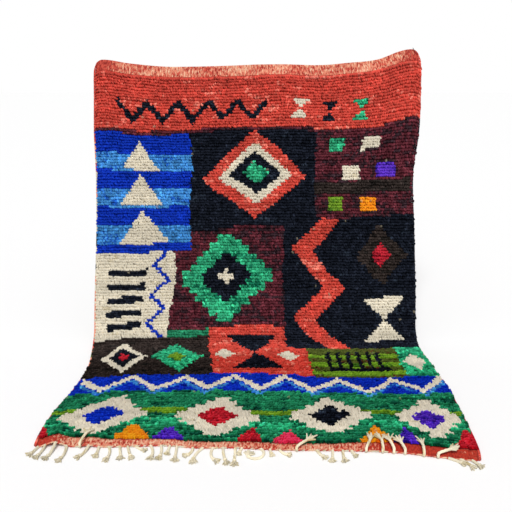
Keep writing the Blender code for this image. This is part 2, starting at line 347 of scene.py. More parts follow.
def keep_mesh(thing):
    """Replace an object's mesh by what its modifiers show, and drop them."""
    bpy.context.view_layer.update()
    shown = thing.evaluated_get(bpy.context.evaluated_depsgraph_get())
    mesh = bpy.data.meshes.new_from_object(shown)
    thing.modifiers.clear()
    thing.data = mesh
    return thing


def run_tree(thing, tree, values):
    """Run a tree on an object with these named values, and keep the mesh it makes."""
    modifier = thing.modifiers.new(tree.name, "NODES")
    modifier.node_group = tree
    for item in tree.interface.items_tree:
        if item.name in values:
            modifier[item.identifier] = values[item.name]
    return keep_mesh(thing)


def store(mesh, label, values, domain="POINT"):
    """Keep a number or a colour on each point or face of a mesh."""
    values = np.asarray(values, np.float32)
    kind, field = ("FLOAT_COLOR", "color") if values.ndim == 2 else ("FLOAT", "value")
    mesh.attributes.new(label, kind, domain).data.foreach_set(field, values.ravel())


def point_cloud(name, places, attributes):
    """An object of loose points, with numbers or colours on each point."""
    mesh = bpy.data.meshes.new(name)
    mesh.vertices.add(len(places))
    set_points(mesh, np.asarray(places))
    for label, values in attributes.items():
        store(mesh, label, values)
    return new_object(name, mesh)


def points_of(mesh):
    """All the points of a mesh, one row each."""
    found = np.empty(len(mesh.vertices) * 3, np.float32)
    mesh.vertices.foreach_get("co", found)
    return found.reshape(-1, 3)


def set_points(mesh, points):
    """Move a mesh's points to these places."""
    mesh.vertices.foreach_set("co", points.astype(np.float32).ravel())
    mesh.update()


def count_triangles(piece):
    """How many triangles a piece's mesh has."""
    piece.data.calc_loop_triangles()
    return len(piece.data.loop_triangles)


def hang(piece):
    """Send a flat piece's points to their places on the hanging rug."""
    set_points(piece.data, laid(points_of(piece.data)))
    print(piece.name, count_triangles(piece), "triangles")
    return piece


HILLS = 400


def smooth_noise(seed, across, along, size_across, size_along):
    """Soft random hills between -1 and 1, one to each size_across by size_along."""
    hills = np.random.default_rng(seed).uniform(-1, 1, (HILLS, HILLS))
    u, v = across / size_across + HILLS / 4, along / size_along + HILLS / 4
    i, j = np.floor(u).astype(int), np.floor(v).astype(int)
    fu, fv = ease(u - i), ease(v - j)
    i, j, past_i, past_j = i % HILLS, j % HILLS, (i + 1) % HILLS, (j + 1) % HILLS
    low = hills[i, j] * (1 - fu) + hills[past_i, j] * fu
    high = hills[i, past_j] * (1 - fu) + hills[past_i, past_j] * fu
    return low * (1 - fv) + high * fv


Hills = namedtuple("Hills", "height seed across along")


def hills_at(table, across, along):
    """The sum of these sorts of soft hills, each with its own height and size."""
    return sum(row.height * smooth_noise(row.seed, across, along, row.across, row.along)
               for row in table)


steps = np.arange(5) * 0.05
print("five steps over hills:", hills_at([Hills(1.0, 1, 0.1, 0.1)], steps, steps).round(2).tolist())

# %% [markdown]
# ## Yarns
# The pile is hand-spun, hand-dyed wool, so no yarn has one flat colour. Each yarn here has a
# main colour, a second one that turns up as flecks, the share of those flecks, and how far
# its shade wanders. Both change in short runs along a row, as they do where one length of
# yarn was tied knot after knot. Burgundy is half brown, the greens are full of darker ends,
# and the pale wool hardly varies. Colours are written as a screen shows them, from 0 to 255.

# %% Yarns
Yarn = namedtuple("Yarn", "main fleck flecks spread")
YARNS = {
    "coral": Yarn((203, 77, 65), (240, 134, 116), 0.26, 0.12),
    "black": Yarn((27, 31, 41), (46, 54, 66), 0.20, 0.26),
    "cream": Yarn((216, 207, 187), (198, 186, 158), 0.18, 0.04),
    "emerald": Yarn((59, 175, 129), (22, 108, 80), 0.36, 0.24),
    "forest": Yarn((46, 138, 100), (22, 90, 70), 0.34, 0.18),
    "cobalt": Yarn((22, 58, 180), (12, 42, 144), 0.25, 0.10),
    "sky": Yarn((72, 142, 204), (36, 94, 184), 0.30, 0.18),
    "burgundy": Yarn((98, 45, 54), (56, 40, 46), 0.44, 0.25),
    "brown": Yarn((56, 48, 45), (38, 35, 33), 0.35, 0.20),
    "olive": Yarn((86, 98, 44), (96, 62, 40), 0.30, 0.14),
    "lime": Yarn((122, 160, 50), (80, 122, 42), 0.30, 0.12),
    "orange": Yarn((242, 150, 34), (236, 116, 30), 0.22, 0.08),
    "purple": Yarn((96, 56, 186), (58, 38, 154), 0.32, 0.14),
    "crimson": Yarn((192, 46, 60), (150, 32, 48), 0.30, 0.14),
    "pink": Yarn((228, 66, 100), (200, 46, 80), 0.25, 0.08),
    "ecru": Yarn((226, 216, 190), (200, 184, 138), 0.35, 0.05),
    "blush": Yarn((232, 152, 122), (226, 130, 102), 0.30, 0.06),
    "peach": Yarn((242, 200, 166), (236, 180, 144), 0.30, 0.06),
    "weft": Yarn((150, 128, 104), (120, 98, 78), 0.30, 0.06),
}
YARN_NAMES = list(YARNS)
ROW_PITCH = 0.0142
STRAY_ENDS = 0.0015
STRAY_KEEPS, STRAY_CREAM = 0.55, 0.30
FLECK_RUN = 0.050
FLECK_BY_RUN, FLECK_BY_END = 0.70, 0.30
FLECK_SOFTNESS = 0.20
SHADE_RUN = 0.0182
SHADE_BY_RUN, SHADE_BY_END = 1.4, 1.1


def light_values(colour):
    """Screen colours, 0 to 255, as the light values that a shader reads."""
    share = np.asarray(colour, float) / 255
    return np.where(share <= 0.04045, share / 12.92, ((share + 0.055) / 1.055) ** 2.4)


MAINS = light_values([yarn.main for yarn in YARNS.values()])
FLECKS = light_values([yarn.fleck for yarn in YARNS.values()])


def dye(numbers, across, along, seed):
    """A colour for each end of yarn: main or fleck, lighter or darker, in short runs."""
    random = np.random.default_rng(seed)
    count = len(numbers)
    flecks, spreads = np.array([yarn[2:] for yarn in YARNS.values()])[numbers].T
    runs = smooth_noise(seed + 1, across, along, FLECK_RUN, ROW_PITCH)
    luck = FLECK_BY_RUN * runs + FLECK_BY_END * random.uniform(-1, 1, count)
    mix = ease((flecks - (0.5 + 0.5 * luck)) / FLECK_SOFTNESS + 0.5)[:, None]
    patches = smooth_noise(seed + 2, across, along, SHADE_RUN, ROW_PITCH)
    luck = SHADE_BY_RUN * patches + SHADE_BY_END * random.normal(0, 1, count)
    colour = (MAINS[numbers] * (1 - mix) + FLECKS[numbers] * mix) * np.exp(spreads * luck)[:, None]
    stray = random.random(count) < STRAY_ENDS
    cream = light_values(YARNS["cream"].fleck)
    colour[stray] = colour[stray] * STRAY_KEEPS + cream * STRAY_CREAM
    return np.concatenate([np.clip(colour, 0.0, 1.0), np.ones((count, 1))], axis=1)


print(len(YARNS), "yarns")

# %% [markdown]
# ## Finishes
# A finish reads the colour that the mesh carries and puts fine fibres on it. On the pile it
# also paints shade on each tuft towards its root and again towards its tip, which draws the
# shaded grooves between the rows. Where that painted shade is darker the colour is also
# painted deeper, because the light that leaves such a hollow has bounced from wool to wool.

# %% Finishes
FIBRE_SHADE = (0.25, 0.75, 0.82, 1.15)
FIBRE_HEIGHT = 0.0006
# Painted shade in the pile's grooves: how much it deepens the colour, and where it lies on a tuft.
SHADE_DEEPENS_COLOUR = 1.1
ROOT_SHADE_ENDS = 0.5
TIP_SHADE_SPAN = 0.28


class Finish(Nodes):
    """The nodes of a matt finish for yarn or cloth."""

    def __init__(self, name, shine):
        self.material = bpy.data.materials.new(name)
        self.material.use_nodes = True
        super().__init__(self.material.node_tree)
        self.shader = self.tree.nodes["Principled BSDF"].inputs
        for label, value in {"Roughness": 0.95, **shine}.items():
            self.give(self.shader[label], value)

    def read(self, name, output="Fac"):
        """What the mesh carries under this name."""
        return self.add("ShaderNodeAttribute", attribute_name=name).outputs[output]

    def noise(self, place, scale, detail):
        return self.out("ShaderNodeTexNoise", {"Vector": place, "Scale": scale, "Detail": detail})

    def mix(self, factor, first, second):
        """Blend two colours, given as sockets or as the screen shows them."""
        made = self.add("ShaderNodeMix", {"Factor": factor}, data_type="RGBA")
        for index, colour in ((6, first), (7, second)):
            if isinstance(colour, tuple):
                colour = (*light_values(colour), 1.0)
            self.give(made.inputs[index], colour)
        return made.outputs[2]

    def shaded(self, colour, shade):
        return self.out("ShaderNodeVectorMath", {0: colour, 3: shade}, operation="SCALE")

    def done(self, colour, height, strength, reach):
        """Give the shader its colour and its relief, and hand over the material."""
        self.give(self.shader["Base Color"], colour)
        self.give(self.shader["Normal"], self.out(
            "ShaderNodeBump", {"Height": height, "Strength": strength, "Distance": reach}))
        return self.material


def wool(name, sheen=0.03, fibre=900.0, bump=0.35, grooves=False):
    """Soft, matt yarn coloured by the mesh, with fine fibres; painted shade in grooves if asked."""
    finish = Finish(name, {"Specular IOR Level": 0.02, "Sheen Weight": sheen,
                           "Sheen Roughness": 0.6})
    place = finish.add("ShaderNodeTexCoord").outputs["Object"]
    fibres = finish.noise(place, fibre, 2.0)
    shade, colour = finish.ramp(fibres, *FIBRE_SHADE), finish.read("yarn", "Color")
    # Painted shade: darker and deeper in colour towards each tuft's root and tip, in the grooves.
    if grooves:
        groove_shade, tip, tip_shade_start = 1.0, finish.read("tip"), finish.read("tip_shade_start")
        dark_by = finish.math("ADD", tip_shade_start, TIP_SHADE_SPAN)
        for depth, light, dark in (("root_shade_amount", ROOT_SHADE_ENDS, 0.0),
                                   ("tip_shade_amount", tip_shade_start, dark_by)):
            deep = finish.ramp(tip, light, dark, 0.0, -1.0)
            kept = finish.math("MULTIPLY_ADD", deep, finish.read(depth), 1.0)
            groove_shade = finish.math("MULTIPLY", groove_shade, kept)
        deeper = finish.math("MULTIPLY_ADD", groove_shade, -SHADE_DEEPENS_COLOUR, 1 + SHADE_DEEPENS_COLOUR)
        colour = finish.out("ShaderNodeGamma", {"Color": colour, "Gamma": deeper})
        shade = finish.math("MULTIPLY", shade, groove_shade)
    return finish.done(finish.shaded(colour, shade), fibres, bump, FIBRE_HEIGHT)


pile_wool = wool("pile wool", sheen=0.0, grooves=True)
selvedge_wool = wool("selvedge wool", fibre=700.0)
fringe_cotton = wool("fringe cotton", sheen=0.05, fibre=1100.0, bump=0.25)
print("finishes:", ", ".join(item.name for item in (pile_wool, selvedge_wool, fringe_cotton)))

# %% [markdown]
# ## The chart
# A weaver of these rugs works without a drawing, from a stock of old motifs: lozenges, stepped
# lozenges, hourglasses, zigzags, combs, checks and ladders, each filling a compartment of its
# own. The chart below is such a composition, made up for this rug. Each row of the table puts
# one motif in a box on the flat rug, over what came before it. The boxes' edges are bent a
# little by soft noise, row by row, because no hand-counted line is quite straight.

# %% The chart's motifs
Motif = namedtuple("Motif", "kind yarn left right low high count thick", defaults=(1, 0.02))
MOTIFS = [Motif(*row) for row in (
    ("block", "forest", -1.00, 1.00, -0.10, 0.38),
    ("block", "cobalt", -1.00, 1.00, 0.38, 0.52),
    ("block", "brown", -1.00, -0.22, 0.52, 0.88),
    ("block", "coral", -0.22, 0.24, 0.52, 0.92),
    ("block", "olive", 0.24, 1.00, 0.52, 0.80),
    ("block", "cream", -1.00, -0.42, 0.88, 1.32),
    ("block", "burgundy", -0.42, 0.16, 0.92, 1.42),
    ("block", "black", 0.16, 1.00, 0.80, 1.48),
    ("block", "cobalt", -1.00, -0.32, 1.32, 1.93),
    ("block", "black", -0.32, 0.32, 1.42, 1.93),
    ("block", "burgundy", 0.32, 1.00, 1.48, 1.93),
    ("block", "coral", -1.00, 1.00, 1.93, 2.40),
    # Front compartment: stepped lozenges, with small triangles between them.
    ("block", "emerald", -0.80, 0.80, 0.12, 0.17),
    ("block", "lime", -0.80, 0.80, 0.21, 0.245),
    ("steps", "cream", -0.74, -0.42, 0.06, 0.33, 5),
    ("steps", "cobalt", -0.655, -0.505, 0.13, 0.26, 4),
    ("steps", "cream", -0.30, 0.02, 0.07, 0.32, 5),
    ("steps", "crimson", -0.215, -0.065, 0.135, 0.255, 4),
    ("steps", "cream", 0.14, 0.44, 0.08, 0.33, 5),
    ("steps", "black", 0.215, 0.365, 0.14, 0.27, 4),
    ("steps", "cream", 0.54, 0.78, 0.07, 0.32, 4),
    ("steps", "purple", 0.60, 0.72, 0.135, 0.255, 3),
    ("up", "crimson", -0.84, -0.70, 0.02, 0.13),
    ("up", "orange", -0.50, -0.34, 0.02, 0.14),
    ("up", "purple", -0.36, -0.22, 0.02, 0.12),
    ("up", "crimson", -0.07, 0.07, 0.02, 0.13),
    ("up", "pink", 0.06, 0.20, 0.02, 0.12),
    ("up", "orange", 0.37, 0.50, 0.02, 0.13),
    ("up", "purple", 0.48, 0.61, 0.02, 0.12),
    ("up", "crimson", 0.71, 0.84, 0.02, 0.13),
    # Cobalt band with a pale zigzag.
    ("zigzag", "cream", -0.80, 0.80, 0.400, 0.500, 7, 0.026),
    ("zigzag", "sky", -0.80, 0.80, 0.362, 0.462, 7, 0.014),
    # Knee-high compartments.
    ("lozenge", "cream", -0.76, -0.52, 0.55, 0.85),
    ("lozenge", "black", -0.72, -0.56, 0.60, 0.80),
    ("lozenge", "crimson", -0.67, -0.61, 0.66, 0.74),
    ("lozenge", "emerald", -0.50, -0.26, 0.56, 0.84),
    ("lozenge", "lime", -0.42, -0.34, 0.65, 0.75),
    ("hourglass", "black", -0.12, 0.12, 0.57, 0.87),
    ("lozenge", "cream", -0.20, -0.10, 0.67, 0.77),
    ("lozenge", "cream", 0.10, 0.20, 0.66, 0.76),
    ("rungs", "lime", 0.24, 0.80, 0.54, 0.78, 3),
    ("comb", "black", 0.32, 0.60, 0.58, 0.76, 6),
    ("block", "emerald", 0.66, 0.80, 0.52, 0.80),
    ("lozenge", "cream", 0.68, 0.78, 0.58, 0.74),
    # Waist-high compartments.
    ("rungs", "black", -0.74, -0.56, 0.93, 1.27, 5),
    ("tower", "cobalt", -0.54, -0.44, 0.88, 1.32, 3, 0.024),
    ("steps", "emerald", -0.38, 0.11, 0.95, 1.39, 6),
    ("steps", "black", -0.27, 0.00, 1.05, 1.29, 5),
    ("cross", "cream", -0.18, -0.09, 1.125, 1.215, 1, 0.03),
    ("tower", "coral", 0.20, 0.46, 0.80, 1.48, 2, 0.105),
    ("hourglass", "cream", 0.54, 0.74, 0.86, 1.08),
    ("lozenge", "brown", 0.53, 0.76, 1.14, 1.44),
    ("lozenge", "crimson", 0.60, 0.69, 1.23, 1.35),
    # Shoulder-high compartments.
    ("rungs", "sky", -0.80, -0.32, 1.36, 1.90, 3),
    ("up", "cream", -0.70, -0.44, 1.36, 1.53),
    ("up", "cream", -0.68, -0.46, 1.55, 1.71),
    ("up", "cream", -0.66, -0.48, 1.73, 1.88),
    ("lozenge", "coral", -0.27, 0.27, 1.45, 1.91),
    ("lozenge", "cream", -0.19, 0.19, 1.52, 1.84),
    ("lozenge", "black", -0.135, 0.135, 1.57, 1.79),
    ("lozenge", "emerald", -0.065, 0.065, 1.62, 1.74),
    ("block", "brown", 0.32, 0.80, 1.60, 1.66),
    ("block", "lime", 0.39, 0.47, 1.51, 1.58),
    ("block", "orange", 0.56, 0.64, 1.51, 1.58),
    ("block", "cream", 0.47, 0.56, 1.67, 1.74),
    ("block", "purple", 0.64, 0.73, 1.67, 1.74),
    ("block", "emerald", 0.39, 0.47, 1.82, 1.89),
    ("block", "cream", 0.56, 0.64, 1.82, 1.89),
    # Top compartment.
    ("zigzag", "black", -0.66, 0.06, 1.985, 2.075, 5, 0.028),
    ("hourglass", "cream", 0.18, 0.27, 1.98, 2.09),
    ("hourglass", "black", 0.34, 0.43, 1.98, 2.09),
    ("hourglass", "emerald", 0.50, 0.59, 1.98, 2.09),
    ("block", "burgundy", -0.80, 0.80, 1.915, 1.935),
)]
ZIGZAG_FULLER = 1.4
TOOTH_SHARE = 0.45
SPINE_TOP = -0.6


def triangle_wave(turns):
    """Up from -1 to 1 and down again, once for each turn."""
    return 4 * np.abs(turns - np.floor(turns) - 0.5) - 1


def inside(motif, across, along):
    """Which of these points of the flat rug the motif covers."""
    kind, wide, high = motif.kind, motif.right - motif.left, motif.high - motif.low
    x = (2 * across - motif.left - motif.right) / wide
    y = (2 * along - motif.low - motif.high) / high
    box = (np.abs(x) < 1) & (np.abs(y) < 1)
    if kind == "lozenge":
        return np.abs(x) + np.abs(y) < 1
    if kind == "steps":
        return box & (np.abs(y) < 1 - np.floor(np.abs(x) * motif.count) / motif.count)
    if kind == "up":
        return box & (np.abs(x) < (1 - y) / 2)
    if kind == "hourglass":
        return box & (np.abs(x) < np.abs(y))
    if kind == "cross":
        return box & ((np.abs(x) < motif.thick / wide) | (np.abs(y) < motif.thick / wide))
    if kind == "zigzag":
        wave = triangle_wave(motif.count * (x + 1) / 2)
        return (np.abs(x) < 1) & (np.abs(y - wave) * high < motif.thick * ZIGZAG_FULLER)
    if kind == "tower":
        wave = triangle_wave(motif.count * (y + 1) / 2) * (wide - motif.thick)
        return (np.abs(y) < 1) & (np.abs(x * wide - wave) < motif.thick)
    if kind == "rungs":
        return box & ((y + 1) / 2 * motif.count % 1 < 0.5)
    if kind == "comb":
        return box & (((x + 1) / 2 * motif.count % 1 < TOOTH_SHARE) | (y < SPINE_TOP))
    return box


print(len(MOTIFS), "motifs")

# %% [markdown]
# ## Where the knots sit
# The pile is tied in rows, one knot to each pair of warps, with a few rows of plain weft
# between one row of knots and the next. That gives rows about 14 mm apart and knots about
# 10 mm apart. Each knot leaves two cut ends, so the points below come in pairs. The chart is
# read once for each knot, and both ends of a knot are the same yarn.

# %% Where the knots sit
KNOT_PITCH = 0.0098
FIRST_ROW = FIELD_START + 0.018
LAST_ROW = FIELD_END - 0.003
SIDE_GAP = 0.003
OVER_SELVEDGE = 1.004
ROW_SHIFT = 0.4
KNOT_SHIFT = 0.0011
TEETH = 0.004
FIRST_ROW_BEND = (
    (-0.80, 0.0), (-0.62, -0.002), (-0.50, -0.010), (-0.30, -0.016), (0.0, -0.018),
    (0.25, -0.016), (0.40, -0.006), (0.55, 0.003), (0.80, 0.006),
)
BEND_REACH = 0.20
BENT_ACROSS = (Hills(0.010, 11, 0.30, 0.11), Hills(0.040, 13, 0.50, 0.42))
BENT_ALONG = (Hills(0.012, 12, 0.20, 0.40), Hills(0.032, 14, 0.42, 0.60))

ROWS = round((LAST_ROW - FIRST_ROW) / ROW_PITCH) + 1
KNOTS = round(2 * FIELD_HALF / KNOT_PITCH)
row_places = np.linspace(FIRST_ROW, LAST_ROW, ROWS)
knot_places = (np.arange(KNOTS) + 0.5) / KNOTS * 2 * FIELD_HALF - FIELD_HALF


def chart_at(across, along, teeth):
    """The yarn number of each of these places, with hand-drawn edges."""
    bent_across = across + hills_at(BENT_ACROSS, across, along) + teeth
    bent_along = along + hills_at(BENT_ALONG, across, along)
    chart = np.full(across.shape, YARN_NAMES.index("forest"))
    for motif in MOTIFS:
        chart[inside(motif, bent_across, bent_along)] = YARN_NAMES.index(motif.yarn)
    return chart


knot_across, knot_along = np.meshgrid(knot_places, row_places)
random = np.random.default_rng(5)
knot_across += random.uniform(-ROW_SHIFT, ROW_SHIFT, (ROWS, 1)) * KNOT_PITCH
knot_across += random.normal(0, KNOT_SHIFT, knot_across.shape)
knot_across = np.clip(knot_across, SIDE_GAP - FIELD_HALF, FIELD_HALF - SIDE_GAP) * OVER_SELVEDGE
bend = 1 - ease((knot_along - FIRST_ROW) / BEND_REACH)
knot_along += through(FIRST_ROW_BEND, knot_across) * bend
chart = chart_at(knot_across, knot_along, random.uniform(-TEETH, TEETH, (ROWS, 1)))
print(ROWS, "rows of", KNOTS, "knots")
for name in YARN_NAMES[:YARN_NAMES.index("ecru")]:
    print(f"  {name}: {(chart == YARN_NAMES.index(name)).mean():.0%}")

# %% [markdown]
# ## The ground weave
# Under the pile there is a firm cloth of warps and wefts, about 4 mm thick, and it is what
# shows on the rug's back: each row of knots is a line of coloured dashes, with plain wefts
# between the lines. A grid with one face to each knot carries those colours, Solidify gives
# it its thickness, and the finish draws the dashes and wefts from the flat position that a UV
# map keeps for every point.

# %% The ground weave
GROUND_DEPTH = 0.004
UNDER_PILE = 0.014
WEFTS_A_ROW = 5
DASH_ROUNDING = 0.35
DASH_RISE = 0.6
DASH_EDGE = 0.15
UPPER_IS_DYED = 3.0
UPPER_SHADE = 0.75
WEFT_GRAIN, WEFT_SHADE = (160.0, 3.0), (0.3, 0.7, 0.7, 1.1)
GROUND_RELIEF = (0.5, 0.0012)


def lay_map(mesh, label, places):
    """Give each corner of each face its place on a map."""
    layer = mesh.uv_layers.new(name=label)
    layer.uv.foreach_set("vector", places.astype(np.float32).ravel())


def flat_sheet(name, across, along, depth, material):
    """A flat grid with its points at these places, made this thick, with a map of the flat rug."""
    columns, rows = len(across), len(along)
    points = np.stack([*np.meshgrid(across, along), np.zeros((rows, columns))], axis=2)
    points = points.reshape(-1, 3)
    first = (np.arange(rows - 1)[:, None] * columns + np.arange(columns - 1)).ravel()
    faces = np.stack([first, first + 1, first + 1 + columns, first + columns], axis=1)
    mesh = bpy.data.meshes.new(name)
    mesh.from_pydata(points.tolist(), [], faces.tolist())
    lay_map(mesh, "flat", points[faces.ravel(), :2])
    mesh.materials.append(material)
    mesh.shade_smooth()
    thing = new_object(name, mesh)
    thick = thing.modifiers.new("thickness", "SOLIDIFY")
    thick.thickness = depth
    thick.offset = 1.0
    return thing


def ground_finish():
    """Coloured knot backs in lines, and plain wefts between them; shaded under the pile."""
    finish = Finish("ground weave", {"Specular IOR Level": 0.1})
    flat = finish.out("ShaderNodeUVMap", uv_map="flat")
    across, along = finish.add("ShaderNodeSeparateXYZ", {0: flat}).outputs[:2]

    def wave(source, pitch, start):
        turns = finish.math("SUBTRACT", source, start)
        return finish.math("COSINE", finish.math("MULTIPLY", turns, 2 * pi / pitch))

    row_pitch, end_pitch = (LAST_ROW - FIRST_ROW) / (ROWS - 1), FIELD_HALF / KNOTS
    dash = finish.math("MULTIPLY_ADD", wave(across, end_pitch, end_pitch / 2), DASH_ROUNDING,
                       wave(along, row_pitch, FIRST_ROW))
    upper = finish.read("upper")
    shown = finish.math("MULTIPLY_ADD", upper, UPPER_IS_DYED, dash)
    shown = finish.ramp(shown, -DASH_EDGE, DASH_EDGE)
    colour = finish.mix(shown, YARNS["weft"].main, finish.read("yarn", "Color"))
    level = finish.ramp(finish.noise(flat, *WEFT_GRAIN), *WEFT_SHADE)
    shade = finish.math("MULTIPLY", level, finish.ramp(upper, 0.0, 1.0, 1.0, UPPER_SHADE))
    wefts = wave(along, row_pitch / WEFTS_A_ROW, FIRST_ROW)
    height = finish.math("MULTIPLY_ADD", dash, DASH_RISE, wefts)
    return finish.done(finish.shaded(colour, shade), height, *GROUND_RELIEF)


knot_edges = np.linspace(-FIELD_HALF, FIELD_HALF, KNOTS + 1)
row_edges = (row_places[1:] + row_places[:-1]) / 2
row_edges = np.concatenate([[FIELD_START + UNDER_PILE], row_edges, [FIELD_END]])
ground = flat_sheet("ground_weave", knot_edges, row_edges, GROUND_DEPTH, ground_finish())
store(ground.data, "yarn", dye(chart.ravel(), knot_across.ravel(), knot_along.ravel(), 21), "FACE")
keep_mesh(ground)
store(ground.data, "upper", points_of(ground.data)[:, 2] > GROUND_DEPTH / 2)
hang(ground)

# %% [markdown]
# ## The pile
# Every knot ends in two tufts of wool that stand up from the ground and fall over towards the
# rug's foot, each row lying on the row below it. One tuft is a short bent tube, thinner at
# its tip. Geometry Nodes put one on each point of the chart, each leaning, turned and sized a
# little differently from a fixed seed, and keep its colour. It is the sum of these small
# differences that makes wool look like wool.

# %% The pile's node tree
TUFT_RINGS = TUFT_SIDES = 3


def pile_tree():
    """One bent tuft, put on every point with a small difference in lean, turn and size."""
    nodes, given = new_tree("cut pile", {
        "Reach": 0.0146,
        "Rise": 0.0215,
        "Crest": 0.35,
        "Tip Height": 0.12,
        "Thickness": 0.0066,
        "Tip Thickness": 0.72,
        "Spread Width": 2.00,
        "Lean Spread": 0.07,
        "Turn Spread": 0.22,
        "Slant": 0.34,
        "Size Spread": 0.12,
        "Seed": 3,
    })

    def times(value, factor):
        return nodes.math("MULTIPLY", value, factor)

    def place(**axes):
        return nodes.out("ShaderNodeCombineXYZ", axes)

    def wobble(spread, seed):
        """A random number for each tuft, up to this spread either way."""
        seed = nodes.math("ADD", given["Seed"], float(seed))
        random = nodes.add("FunctionNodeRandomValue", {2: -1.0, 3: 1.0, "Seed": seed},
                           data_type="FLOAT")
        return times(given[spread], random.outputs[1])

    def size(seed):
        return nodes.math("ADD", wobble("Size Spread", seed), 1.0)

    down = times(given["Reach"], -1.0)
    line = nodes.out("GeometryNodeCurveQuadraticBezier", {
        "Start": (0.0, 0.0, 0.0),
        "Middle": place(Y=times(down, given["Crest"]), Z=given["Rise"]),
        "End": place(Y=down, Z=times(given["Rise"], given["Tip Height"]))})
    line = nodes.out("GeometryNodeResampleCurve", {"Curve": line, "Count": TUFT_RINGS})
    way = nodes.out("GeometryNodeSplineParameter")
    line = nodes.out("GeometryNodeStoreNamedAttribute",
                     {"Geometry": line, "Name": "tip", "Value": way},
                     data_type="FLOAT", domain="POINT")
    ring = nodes.out("GeometryNodeCurvePrimitiveCircle",
                     {"Resolution": TUFT_SIDES, "Radius": times(given["Thickness"], 0.5)},
                     mode="RADIUS")
    tuft = nodes.out("GeometryNodeCurveToMesh",
                     {"Curve": line, "Profile Curve": ring, "Fill Caps": True,
                      "Scale": nodes.ramp(way, 0.0, 1.0, 1.0, given["Tip Thickness"])})
    turn = place(X=nodes.math("SUBTRACT", wobble("Lean Spread", 1), nodes.stored("stand")),
                 Y=wobble("Turn Spread", 2),
                 Z=nodes.math("ADD", wobble("Turn Spread", 4), given["Slant"]))
    scale = place(X=times(size(5), given["Spread Width"]), Y=size(6),
                  Z=times(size(7), nodes.stored("fullness")))
    tufts = nodes.out("GeometryNodeInstanceOnPoints",
                      {"Points": given["Geometry"], "Instance": tuft, "Scale": scale,
                       "Rotation": nodes.out("FunctionNodeEulerToRotation", {0: turn})})
    return finish_tree(nodes, tufts, given)


cut_pile = pile_tree()
print("named inputs:", [item.name for item in cut_pile.interface.items_tree])

# %% [markdown]
# The pile is made in four bands along the rug. Where the rug lies on the floor its tufts stand
# up more, so one looks further in between them: the painted shade in the grooves is deeper
# there, and the tufts are painted lighter, as their tips catch more light. Pale wool lets light
# through, so its grooves get less painted shade. The last row, against the top heading, is
# fuller than the others, and painted lighter as a highlight where it catches more light.

# %% The pile's four bands
PILE_BANDS = 4
# Painted shade at the tufts' roots and tips, less on pale yarn, and where the tip's starts.
ROOT_PAINTED_SHADE = 0.22
TIP_PAINTED_SHADE = 0.30
PALE_YARN = 3.2
TIP_SHADE_BEGINS = 0.70
STAND_LYING = 0.22
LYING_FROM, LYING_REACH = LYING_LENGTH - 0.15, 0.30
# Where the rug lies on the floor, the painted shade at the tips starts sooner and is deeper.
LYING_SHADE_START = 0.50
LYING_MORE_SHADE = 0.4
LYING_ADDED_SHADE = 0.20
# Painted light on the tufts where the rug lies on the floor, less of it on pale yarn.
LYING_PAINTED_LIGHT, NOT_PALE = 0.34, 1.8
# The top row is fuller, and painted lighter as a highlight.
TOP_ROW_FULLER, TOP_ROW_HIGHLIGHT = 1.25, 1.18
KNOT_SPREAD = 0.07
KNOT_WANDER = 0.0007
END_SHIFT = 0.0024
END_WANDER = (0.0006, 0.0010)
ROOT_HEIGHT = GROUND_DEPTH - 0.001
SWELLING = (Hills(0.11, 9, 0.045, ROW_PITCH),)
ROW_DRIFTS = (Hills(0.0030, 8, 0.050, 1.5 * ROW_PITCH), Hills(0.0010, 10, 0.016, ROW_PITCH))
ABRASH = (Hills(0.10, 31, np.inf, 0.055), Hills(0.05, 32, 0.16, 0.9 * ROW_PITCH),
          Hills(0.08, 33, 0.09, 0.045))
MAP_SIDE, MAP_RING, MAP_CORNER = 0.0019, 0.0055, 0.0008
MAP_BELOW, MAP_MARGIN = 0.02, 0.03


def bake_map(piece, roots, band_low, band_high):
    """A bake map, with each tuft in its own small cell of the flat rug."""
    number = np.arange(len(piece.data.vertices))
    tuft, corner = np.divmod(number, TUFT_RINGS * TUFT_SIDES)
    ring, side = np.divmod(corner, TUFT_SIDES)
    u = roots[tuft, 0] + (side - 1) * MAP_SIDE
    v = roots[tuft, 1] - ring * MAP_RING + (side == 1) * MAP_CORNER
    u = (u + HALF_WIDTH) / RUG_WIDTH
    v = (v - band_low + MAP_BELOW) / (band_high - band_low + MAP_MARGIN)
    corners = np.empty(len(piece.data.loops), np.int32)
    piece.data.loops.foreach_get("vertex_index", corners)
    lay_map(piece.data, "OFBake", np.stack([u, v], axis=1)[corners])


def lighten(colours, by):
    """Make each of these colours this much lighter."""
    colours[:, :3] = np.clip(colours[:, :3] * by[:, None], 0.0, 1.0)


